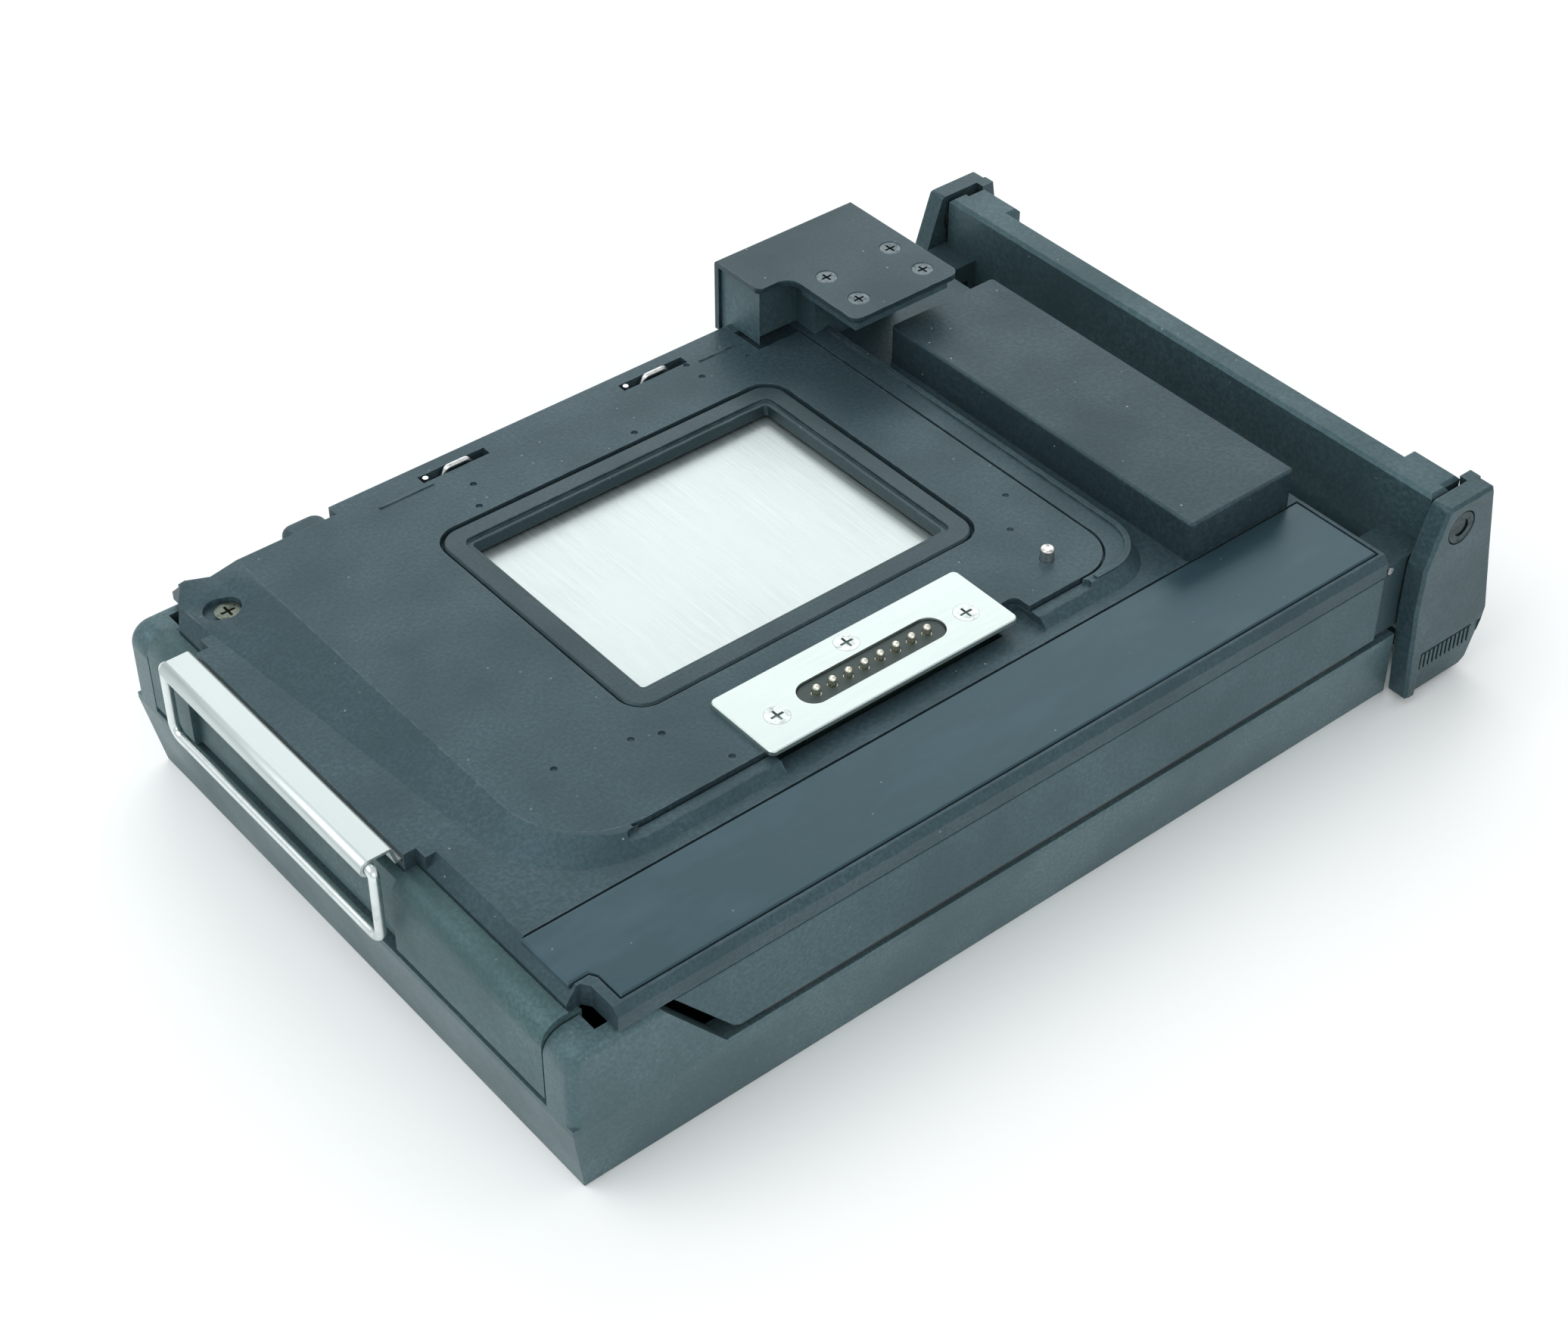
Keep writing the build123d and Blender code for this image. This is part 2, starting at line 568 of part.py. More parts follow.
def side_block_cover():
    x0, x1 = SIDE_BLOCK_X
    y0, y1 = SIDE_BLOCK_Y
    tab_x, tab_y = SIDE_BLOCK_TAB
    outline = [(tab_x, y0), (x1, y0), (x1, y1), (x0, y1), (x0, tab_y), (tab_x, tab_y)]
    face = make_face(Polyline(*outline, close=True))
    inner = face.vertices().sort_by(lambda v: abs(v.X - tab_x) + abs(v.Y - tab_y))[0]
    face = fillet(inner, 2.6)
    tab = face.vertices().sort_by(lambda v: abs(v.X - x0) + abs(v.Y - tab_y))[0]
    face = fillet(tab, 1.2)
    near = face.vertices().group_by(Axis.Y)[0]
    face = fillet(near, 1.8)
    sheet = extrude(Pos(0, 0, SIDE_BLOCK_Z - SIDE_BLOCK_SHEET) * face, amount=SIDE_BLOCK_SHEET)
    sheet += block(x0, x1, y1 - SIDE_BLOCK_SHEET, y1, COVER_Z, SIDE_BLOCK_Z - 0.2)
    fold = sheet.edges().filter_by(Axis.X).group_by(Axis.Z)[-1].sort_by(Axis.Y)[-1]
    sheet = fillet(fold, 0.8)
    for x in SIDE_BLOCK_SCREWS_X:
        for y in SIDE_BLOCK_SCREWS_Y:
            sheet -= countersink(x, y, SIDE_BLOCK_Z + 0.01, 1.85, 1.05, 35)
    return sheet


def side_block_screws():
    top_z = SIDE_BLOCK_Z - 0.12
    tip_z = SIDE_BLOCK_SLAB_Z + 0.2
    places = [(x, y) for x in SIDE_BLOCK_SCREWS_X for y in SIDE_BLOCK_SCREWS_Y]
    return [phillips_screw(x, y, top_z, 1.7, 0.95, tip_z) for x, y in places]


# ---- Body between cover and door ----
def end_panel():
    """Hinge-end wall with a rounded bead on top and a pocket for the handle."""
    bead_x, bead_z = SLOT_SHOULDER_X - 0.1, 28.0
    points = [(0, PANEL_Z), (END_PANEL_X, PANEL_Z), (END_PANEL_X, SEAM_Z), (bead_x, SEAM_Z), (bead_x, bead_z),
              (0, bead_z)]
    half = HALF_WIDTH - EAR_DEPTH - SEAM_GAP
    wall = side_prism(points, -half, half)
    bead = wall.edges().filter_by(Axis.Y).filter_by(lambda e: e.center().X < 0.1 and e.center().Z > SEAM_Z)
    wall = fillet(bead, EAR_ROUND)
    slot_half = SLIDE_WIDTH / 2 + POCKET_MARGIN
    slot_y = (SLIDE_CENTRE_Y - slot_half, SLIDE_CENTRE_Y + slot_half)
    pocket = block(-1, POCKET_DEPTH, *slot_y, PANEL_Z - 1, ABOVE)
    shelf = block(SLOT_LIP_X - 0.1, SLOT_SHOULDER_X, *slot_y, SEAM_Z, ABOVE)
    wall -= pocket + shelf
    for side in (-1, 1):
        wall -= shaft(HINGE_X, HINGE_Z, side * 44, side * 60, HINGE_RADIUS)
    return wall


def side_panel():
    """Near side wall with a sloping front end."""
    points = [(16.4, SEAM_Z), (BODY_LENGTH, SEAM_Z), (BODY_LENGTH, PANEL_Z), (27.4, PANEL_Z), (26.2, 15.4)]
    panel = side_prism(points, -HALF_WIDTH, -CHAMBER_HALF_WIDTH)
    panel -= block(10, 160, -HALF_WIDTH - 1, -HALF_WIDTH + 0.5, SEAM_Z - 0.25, 30)
    return panel


def film_gate():
    """Plate that the film pack is pressed against, with the image opening and two film rails."""
    plate = block(END_PANEL_X, GATE_END_X, -CHAMBER_HALF_WIDTH, CHAMBER_HALF_WIDTH, GATE_Z, SEAM_Z)
    return plate - aperture_block(LIGHT_PATH_GROW, BELOW, ABOVE)


# ---- Rear door ----
def door_shell():
    base = plan_rectangle(DOOR_DRAFT_X, DOOR_FOOT_END_X, HALF_WIDTH - DOOR_DRAFT_Y)
    kink = Pos(0, 0, DOOR_KINK_Z) * plan_rectangle(0, DOOR_END_X, HALF_WIDTH)
    shell = loft([base, kink], ruled=True)
    shell += block(0, DOOR_END_X, -HALF_WIDTH, HALF_WIDTH, DOOR_KINK_Z, DOOR_RIM_Z)
    inner = HALF_WIDTH - DOOR_DRAFT_Y - WALL
    return shell - block(DOOR_DRAFT_X + WALL, DOOR_WELL_END_X, -inner, inner, DOOR_FLOOR, 20)


def plan_rectangle(x0, x1, half_width):
    return make_face(Polyline((x0, -half_width), (x1, -half_width), (x1, half_width), (x0, half_width), close=True))


def door_ear():
    """Near hinge ear: a rounded lug and the sloping cheek beside it."""
    inner_y = -HALF_WIDTH + EAR_DEPTH
    lug_points = [(0, DOOR_RIM_Z - 1), (EAR_LENGTH, DOOR_RIM_Z - 1), (EAR_LENGTH, EAR_TOP_Z), (0, EAR_TOP_Z)]
    ear = side_prism(lug_points, -HALF_WIDTH, inner_y)
    top_edge = ear.edges().filter_by(Axis.Y).filter_by(lambda e: e.center().X < 0.1 and e.center().Z > 25)
    ear = fillet(top_edge, EAR_ROUND)
    cheek = [(EAR_LENGTH - 1, DOOR_RIM_Z - 1), (EAR_SLOPE[1][0], DOOR_RIM_Z - 1), *EAR_SLOPE[::-1],
             (EAR_LENGTH - 1, EAR_TOP_Z)]
    ear += side_prism(cheek, -HALF_WIDTH, -HALF_WIDTH + WALL)
    ear += block(DOOR_DRAFT_X + 1, EAR_LENGTH, -HALF_WIDTH + 3, inner_y, DOOR_FLOOR - 1, DOOR_RIM_Z)
    outer_edge = ear.edges().filter_by(Axis.Z).filter_by(lambda e: e.center().X < 0.1 and e.center().Y < inner_y - 2)
    ear = fillet(outer_edge, 1.6)
    return ear - shaft(HINGE_X, HINGE_Z, -HALF_WIDTH + 1.4, inner_y + 1, HINGE_RADIUS + FIT)


def back_door():
    door = door_shell() + door_ear() + far_side(door_ear())
    door -= block(DOOR_WELL_END_X - 1, DOOR_TONGUE_X, -52.5, 52.5, 7.0, 20)
    door -= block(149.8, DOOR_TONGUE_X, -49.5, 49.5, DOOR_TONGUE_Z, 20)
    tongue = block(DOOR_END_X - 6, DOOR_TONGUE_X, -DOOR_TONGUE_HALF_WIDTH, DOOR_TONGUE_HALF_WIDTH, 0, DOOR_TONGUE_Z)
    tongue = chamfer(tongue.edges().filter_by(Axis.Y).sort_by(Axis.X)[-2:], 1.0)
    return door + tongue


def hinge_pins():
    return [shaft(HINGE_X, HINGE_Z, side * 44, side * (HALF_WIDTH - 1.5), HINGE_RADIUS) for side in (-1, 1)]


def pack_springs():
    """Two bowed leaf springs that push the film pack against the gate."""
    x0, x1 = PACK_SPRING_X
    middle = (x0 + x1) / 2
    top_z = DOOR_FLOOR + PACK_SPRING_HEIGHT
    bow = Plane.XZ * ThreePointArc((x0, DOOR_FLOOR + PACK_SPRING_THICKNESS), (middle, top_z),
                                   (x1, DOOR_FLOOR + PACK_SPRING_THICKNESS))
    under = Plane.XZ * ThreePointArc((x0, DOOR_FLOOR), (middle, top_z - PACK_SPRING_THICKNESS), (x1, DOOR_FLOOR))
    ends = [Line(bow @ 0, under @ 0), Line(bow @ 1, under @ 1)]
    leaf = extrude(make_face([bow, under, *ends]), amount=PACK_SPRING_WIDTH / 2, both=True)
    return [Pos(0, y, 0) * leaf for y in (-PACK_SPRING_Y, PACK_SPRING_Y)]


def door_light_seals():
    """Foam strips on the door's side rims."""
    strips = []
    for side in (-1, 1):
        middle_y = side * (HALF_WIDTH - 1.3)
        strips.append(block(*SEAL_X, middle_y - SEAL_WIDTH / 2, middle_y + SEAL_WIDTH / 2, DOOR_RIM_Z, PANEL_Z - 0.1))
    return strips


# ---- Rollers ----
def roller(z):
    body = shaft(ROLLER_X, z, -ROLLER_HALF_LENGTH, ROLLER_HALF_LENGTH, ROLLER_RADIUS)
    body = chamfer(body.edges().filter_by(GeomType.CIRCLE), 0.4)
    return body + shaft(ROLLER_X, z, -CHEEK_Y[1] - 1, CHEEK_Y[1] + 1, SHAFT_RADIUS)


def roller_frame():
    """Two bearing cheeks, each with a bracket outside it that carries the cross bar."""
    half = BEARING_SIZE / 2 + FIT
    sides = []
    for side in (-1, 1):
        y0, y1 = sorted((side * CHEEK_Y[0], side * CHEEK_Y[1]))
        cheek = block(*CHEEK_X, y0, y1, *CHEEK_Z)
        slot_z = (ROLLER_HIGH_Z - half - 0.2, BEARING_SLOT_TOP_Z)
        cheek -= block(ROLLER_X - half, ROLLER_X + half, y0 - 1, y1 + 1, *slot_z)
        cheek -= shaft(ROLLER_X, ROLLER_LOW_Z, y0 - 1, y1 + 1, SHAFT_RADIUS + 1)
        outer0, outer1 = sorted((side * BRACKET_Y[0], side * BRACKET_Y[1]))
        bracket = block(*CHEEK_X, outer0, outer1, *BRACKET_Z)
        bridge0, bridge1 = sorted((side * CHEEK_Y[0], side * BRACKET_Y[1]))
        bridge = block(*CHEEK_X, bridge0, bridge1, BEARING_SLOT_TOP_Z + 1, BRACKET_Z[1])
        pin_hole = shaft(BRACKET_PIN_X, BRACKET_PIN_Z, side * (BRACKET_Y[1] - 2), side * 60, BRACKET_PIN_RADIUS)
        sides.append(cheek + bracket + bridge - pin_hole)
    return sides


def lower_bushes():
    bushes = []
    for side in (-1, 1):
        y0, y1 = sorted((side * CHEEK_Y[0], side * CHEEK_Y[1]))
        ring = shaft(ROLLER_X, ROLLER_LOW_Z, y0, y1, SHAFT_RADIUS + 1)
        bushes.append(ring - shaft(ROLLER_X, ROLLER_LOW_Z, y0 - 1, y1 + 1, SHAFT_RADIUS + FIT))
    return bushes


def bearing_blocks():
    half = BEARING_SIZE / 2
    blocks = []
    for side in (-1, 1):
        y0, y1 = sorted((side * CHEEK_Y[0], side * CHEEK_Y[1]))
        bearing = block(ROLLER_X - half, ROLLER_X + half, y0, y1, ROLLER_HIGH_Z - half, ROLLER_HIGH_Z + half)
        blocks.append(bearing - shaft(ROLLER_X, ROLLER_HIGH_Z, y0 - 1, y1 + 1, SHAFT_RADIUS + FIT))
    return blocks


def roller_springs():
    y = (CHEEK_Y[0] + CHEEK_Y[1]) / 2
    low = ROLLER_HIGH_Z + BEARING_SIZE / 2
    return [post(ROLLER_X, side * y, low, BEARING_SLOT_TOP_Z, 0.9) for side in (-1, 1)]


def bracket_pins():
    """Small pins that tie the cross bar's brackets to the body."""
    y0, y1 = BRACKET_Y[1] - 2, HALF_WIDTH - 0.4
    return [shaft(BRACKET_PIN_X, BRACKET_PIN_Z, side * y0, side * y1, BRACKET_PIN_RADIUS) for side in (-1, 1)]


# ---- Cross bar and latch ----
def cross_bar():
    bar = block(*BAR_X, -BAR_HALF_WIDTH, BAR_HALF_WIDTH, *BAR_Z)
    for side in (-1, 1):
        y0, y1 = sorted((side * BAR_HALF_WIDTH, side * (BAR_HALF_WIDTH - BAR_END_LENGTH)))
        bar += block(BAR_X[0], BAR_END_X, y0, y1, *BAR_Z)
    bar += block(BAR_X[0], BAR_FRONT_X, -BAR_FRONT_HALF_WIDTH, BAR_FRONT_HALF_WIDTH, *BAR_Z)
    bar = chamfer(bar.edges().filter_by(Plane.XY).group_by(Axis.Z)[-1], 0.6)
    for side in (-1, 1):
        bar -= shaft(PIVOT_X, PIVOT_Z, side * (BAR_HALF_WIDTH - 7), side * (BAR_HALF_WIDTH + 3), PIVOT_RADIUS)
    return bar


def grip_cut():
    """Sloping finger hold cut into the near arm's foot, less the ribs across its upper part."""
    top_depth, foot_depth = GRIP_DEPTH
    wedge = [(-ARM_OUTER_Y - 0.1, GRIP_TOP_Z), (-ARM_OUTER_Y + top_depth, GRIP_TOP_Z), (-ARM_OUTER_Y + foot_depth, 0),
             (-ARM_OUTER_Y - 0.1, 0)]
    plane = Plane(origin=(GRIP_X[0], 0, 0), x_dir=(0, 1, 0), z_dir=(1, 0, 0))
    cut = extrude(plane * make_face(Polyline(*wedge, close=True)), amount=GRIP_X[1] - GRIP_X[0])
    for index in range(RIB_COUNT):
        x = GRIP_X[0] + 0.5 + index * RIB_PITCH
        cut -= block(x, x + RIB_WIDTH, -ARM_OUTER_Y + 0.1, -ARM_OUTER_Y + ARM_THICKNESS, *RIB_Z)
    return cut


def latch_arm():
    """Near latch arm: a plate with a rear flange and a ribbed finger grip at its foot."""
    inner_y = -ARM_OUTER_Y + ARM_THICKNESS
    arm = side_prism([*ARM_FRONT, *ARM_REAR, (170.4, ARM_BOTTOM_Z)], -ARM_OUTER_Y, inner_y)
    arm = fillet(arm.edges().filter_by(Axis.Y), 0.9)
    outer_edges = arm.edges().filter_by(lambda e: abs(e.center().Y + ARM_OUTER_Y) < 0.01)
    arm = chamfer(outer_edges, 0.5)
    inset = [(x - FLANGE_THICKNESS, z) for x, z in ARM_REAR]
    arm += side_prism([*ARM_REAR, *inset[::-1]], inner_y - 0.5, -FLANGE_INNER_Y)
    arm -= grip_cut()
    arm -= shaft(PIVOT_X, PIVOT_Z, -ARM_OUTER_Y - 1, inner_y + 1, PIVOT_RADIUS + FIT)
    return arm - shaft(PIVOT_X, PIVOT_Z, -ARM_OUTER_Y - 1, -ARM_OUTER_Y + 0.9, PIVOT_HEAD_RADIUS + 0.25)


def latch_tie_bar():
    points = [(165.4, 1.3), (170.6, 1.3), (172.6, 9.5), (170.2, 9.5), (169.2, 4.6), (165.4, 4.6)]
    return side_prism(points, -FLANGE_INNER_Y, FLANGE_INNER_Y)


def latch_pivots():
    pivots = []
    for side in (-1, 1):
        stem = shaft(PIVOT_X, PIVOT_Z, side * (BAR_HALF_WIDTH - 7), side * (ARM_OUTER_Y - 0.1), PIVOT_RADIUS)
        head = shaft(PIVOT_X, PIVOT_Z, side * (ARM_OUTER_Y - 0.8), side * (ARM_OUTER_Y - 0.1), PIVOT_HEAD_RADIUS)
        dimple = shaft(PIVOT_X, PIVOT_Z, side * (ARM_OUTER_Y - 0.35), side * (ARM_OUTER_Y + 1), 1.5)
        pivots.append(stem + head - dimple)
    return pivots


def latch_washers():
    arm_inner = ARM_OUTER_Y - ARM_THICKNESS
    washers = []
    for side in (-1, 1):
        ring = shaft(PIVOT_X, PIVOT_Z, side * (BAR_FRONT_HALF_WIDTH + 0.02), side * (arm_inner - FIT), 3.0)
        hole = shaft(PIVOT_X, PIVOT_Z, side * (BAR_HALF_WIDTH - 1), side * (arm_inner + 1), PIVOT_RADIUS + FIT)
        washers.append(ring - hole)
    return washers


# ---- Dark slide ----
def dark_slide():
    """Steel sheet whose outer end rises and is rolled into a hem for the handle."""
    y0, y1 = SLIDE_CENTRE_Y - SLIDE_WIDTH / 2, SLIDE_CENTRE_Y + SLIDE_WIDTH / 2
    top_z = SLIDE_Z + SLIDE_THICKNESS
    hem_z = CURL_Z + CURL_RADIUS
    sheet = block(1.6, SLIDE_END_X, y0, y1, SLIDE_Z, top_z)
    step = [(1.6, SLIDE_Z), (2.3, SLIDE_Z), (2.3, top_z), (2.0, top_z), (1.35, hem_z - 0.25), (1.0, hem_z),
            (CURL_X, hem_z), (CURL_X, hem_z - SLIDE_THICKNESS), (0.8, hem_z - SLIDE_THICKNESS)]
    sheet += side_prism(step, y0, y1)
    sheet += shaft(CURL_X, CURL_Z, y0, y1, CURL_RADIUS)
    return sheet - shaft(CURL_X, CURL_Z, y0 - 1, y1 + 1, WIRE_RADIUS + FIT)


def dark_slide_handle():
    """Wire loop whose two ends turn in the rolled hem."""
    half = SLIDE_WIDTH / 2 + 1.1
    low, high = SLIDE_CENTRE_Y - half, SLIDE_CENTRE_Y + half
    grip = HANDLE_GRIP_IN_CURL
    points = [(CURL_X, low + grip, CURL_Z), (CURL_X, low, CURL_Z), (CURL_X, low, HANDLE_RAIL_Z),
              (CURL_X, high, HANDLE_RAIL_Z), (CURL_X, high, CURL_Z), (CURL_X, high - grip, CURL_Z)]
    path = FilletPolyline(*points, radius=[1.0, HANDLE_BEND, HANDLE_BEND, 1.0])
    section = Plane(origin=path @ 0, z_dir=path % 0) * Circle(WIRE_RADIUS)
    return sweep(section, path=path)


def slide_light_seal():
    """Felt strip under the dark slide, just inside its slot."""
    half = SLIDE_WIDTH / 2 - 1.0
    return block(*SLIDE_SEAL_X, SLIDE_CENTRE_Y - half, SLIDE_CENTRE_Y + half, SLIDE_SEAL_Z, SLIDE_Z - 0.03)


# ---- All pieces ----
def all_pieces():
    pieces = {
        "front_cover": front_cover(),
        "mount_plate": mount_plate(),
        "aperture_frame": aperture_frame(),
        "grip_strip": grip_strip(),
        "cover_screw": cover_screw(),
        "contact_plate": contact_plate(),
        "contact_plate_screws": contact_screws(),
        "contact_insulator": contact_insulator(),
        "contact_board": contact_board(),
        "contact_barrels": contact_barrels(),
        "interlock_pin": interlock_pin(),
        "interlock_spring": interlock_spring(),
        "catch_spring_left": catch_spring(CATCH_SLOTS[0][0]),
        "catch_spring_right": catch_spring(CATCH_SLOTS[1][0]),
        "roller_housing": roller_housing(),
        "side_block_core": side_block_core(),
        "side_block_cover": side_block_cover(),
        "side_block_screws": side_block_screws(),
        "end_panel": end_panel(),
        "side_panel_near": side_panel(),
        "side_panel_far": far_side(side_panel()) - block(0, FAR_LUG_X[0], FAR_CUT_Y, 60, 23.5, 40),
        "film_gate": film_gate(),
        "back_door": back_door(),
        "hinge_pins": hinge_pins(),
        "pack_springs": pack_springs(),
        "door_light_seals": door_light_seals(),
        "roller_frame": roller_frame(),
        "roller_lower": roller(ROLLER_LOW_Z),
        "roller_upper": roller(ROLLER_HIGH_Z),
        "roller_lower_bushes": lower_bushes(),
        "roller_bearing_blocks": bearing_blocks(),
        "roller_springs": roller_springs(),
        "bracket_pins": bracket_pins(),
        "cross_bar": cross_bar(),
        "latch_arm_near": latch_arm(),
        "latch_arm_far": far_side(latch_arm()),
        "latch_tie_bar": latch_tie_bar(),
        "latch_pivots": latch_pivots(),
        "latch_washers": latch_washers(),
        "dark_slide": dark_slide(),
        "dark_slide_handle": dark_slide_handle(),
        "slide_light_seal": slide_light_seal(),
    }
    for index in range(CONTACT_COUNT):
        pieces[f"contact_pin_{index + 1}"] = contact_pin(index)
    return pieces


os.makedirs("parts", exist_ok=True)
for node, shape in all_pieces().items():
    solids = shape if isinstance(shape, list) else [shape]
    placed = [Pos(-ORIGIN_X, 0, 0) * solid for solid in solids]
    export_step(placed[0] if len(placed) == 1 else Compound(children=placed), f"parts/{node}.step")
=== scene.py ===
import json
import math

import bpy
from mathutils import Matrix, Vector

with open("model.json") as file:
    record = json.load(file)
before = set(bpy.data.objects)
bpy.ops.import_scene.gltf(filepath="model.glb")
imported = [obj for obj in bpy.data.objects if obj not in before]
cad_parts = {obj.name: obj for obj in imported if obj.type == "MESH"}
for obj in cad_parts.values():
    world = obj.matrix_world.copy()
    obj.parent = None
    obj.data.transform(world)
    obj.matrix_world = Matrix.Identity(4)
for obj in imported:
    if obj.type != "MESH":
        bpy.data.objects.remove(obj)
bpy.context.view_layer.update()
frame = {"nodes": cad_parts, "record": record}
NODES = frame["nodes"]
MM = 0.001

# ---- Camera ----
CAMERA_AZIMUTH = math.radians(-39.58)
CAMERA_ELEVATION = math.radians(40.93)
CAMERA_ROLL = math.radians(0.24)
CAMERA_LENS_MM = 66.26
CAMERA_SENSOR_MM = 36.0
CAMERA_CLIP_START = 0.01
CAMERA_PLACE = Vector((-0.2161, -0.2550, 0.2978))


def make_camera():
    data = bpy.data.cameras.new("camera")
    data.sensor_width = CAMERA_SENSOR_MM
    data.lens = CAMERA_LENS_MM
    data.clip_start = CAMERA_CLIP_START
    back = Vector((math.sin(CAMERA_AZIMUTH) * math.cos(CAMERA_ELEVATION),
                   -math.cos(CAMERA_AZIMUTH) * math.cos(CAMERA_ELEVATION),
                   math.sin(CAMERA_ELEVATION)))
    right = Vector((math.cos(CAMERA_AZIMUTH), math.sin(CAMERA_AZIMUTH), 0))
    up = back.cross(right)
    turn = Matrix((right, up, back)).transposed() @ Matrix.Rotation(CAMERA_ROLL, 3, "Z")
    camera = bpy.data.objects.new("camera", data)
    camera.matrix_world = Matrix.Translation(CAMERA_PLACE) @ turn.to_4x4()
    bpy.context.scene.collection.objects.link(camera)
    bpy.context.scene.camera = camera


# ---- Stage and lights ----
FLOOR_HALF_SIZE = 3.0
FLOOR_DROP = 0.0001
FLOOR_COLOUR = (0.96, 0.965, 0.965, 1)
FLOOR_ROUGHNESS = 0.7
STUDIO_COLOUR = (0.93, 0.97, 0.98, 1)
STUDIO_STRENGTH = 0.75

# Place, target, size and power of each soft light, in metres and watts
LIGHTS = {
    "key": ((-0.7, 0.25, 1.1), (0, 0, 0), (1.1, 1.1), 7.5),
    "fill": ((-0.2, -1.2, 0.7), (0, 0, 0.02), (1.2, 0.6), 3.6),
    "back": ((0.7, 0.9, 0.8), (0, 0, 0.02), (1.3, 0.7), 4.0),
}


def make_floor():
    mesh = bpy.data.meshes.new("floor")
    size = FLOOR_HALF_SIZE
    corners = [(-size, -size, 0), (size, -size, 0), (size, size, 0), (-size, size, 0)]
    mesh.from_pydata(corners, [], [(0, 1, 2, 3)])
    floor = bpy.data.objects.new("floor", mesh)
    bpy.context.scene.collection.objects.link(floor)
    floor.location.z = -FLOOR_DROP
    material = bpy.data.materials.new("pale_floor")
    material.use_nodes = True
    shader = material.node_tree.nodes["Principled BSDF"]
    shader.inputs["Base Color"].default_value = FLOOR_COLOUR
    shader.inputs["Roughness"].default_value = FLOOR_ROUGHNESS
    mesh.materials.append(material)


def area_light(name, place, target, size, power):
    data = bpy.data.lights.new(name, "AREA")
    data.shape = "RECTANGLE"
    data.size, data.size_y = size
    data.energy = power
    lamp = bpy.data.objects.new(name, data)
    direction = Vector(place) - Vector(target)
    turn = direction.to_track_quat("Z", "Y").to_matrix().to_4x4()
    lamp.matrix_world = Matrix.Translation(place) @ turn
    bpy.context.scene.collection.objects.link(lamp)


def make_lights():
    for name, settings in LIGHTS.items():
        area_light(name, *settings)
    world = bpy.data.worlds.new("studio")
    world.use_nodes = True
    background = world.node_tree.nodes["Background"]
    background.inputs["Color"].default_value = STUDIO_COLOUR
    background.inputs["Strength"].default_value = STUDIO_STRENGTH
    bpy.context.scene.world = world
    bpy.context.scene.view_settings.view_transform = "Standard"


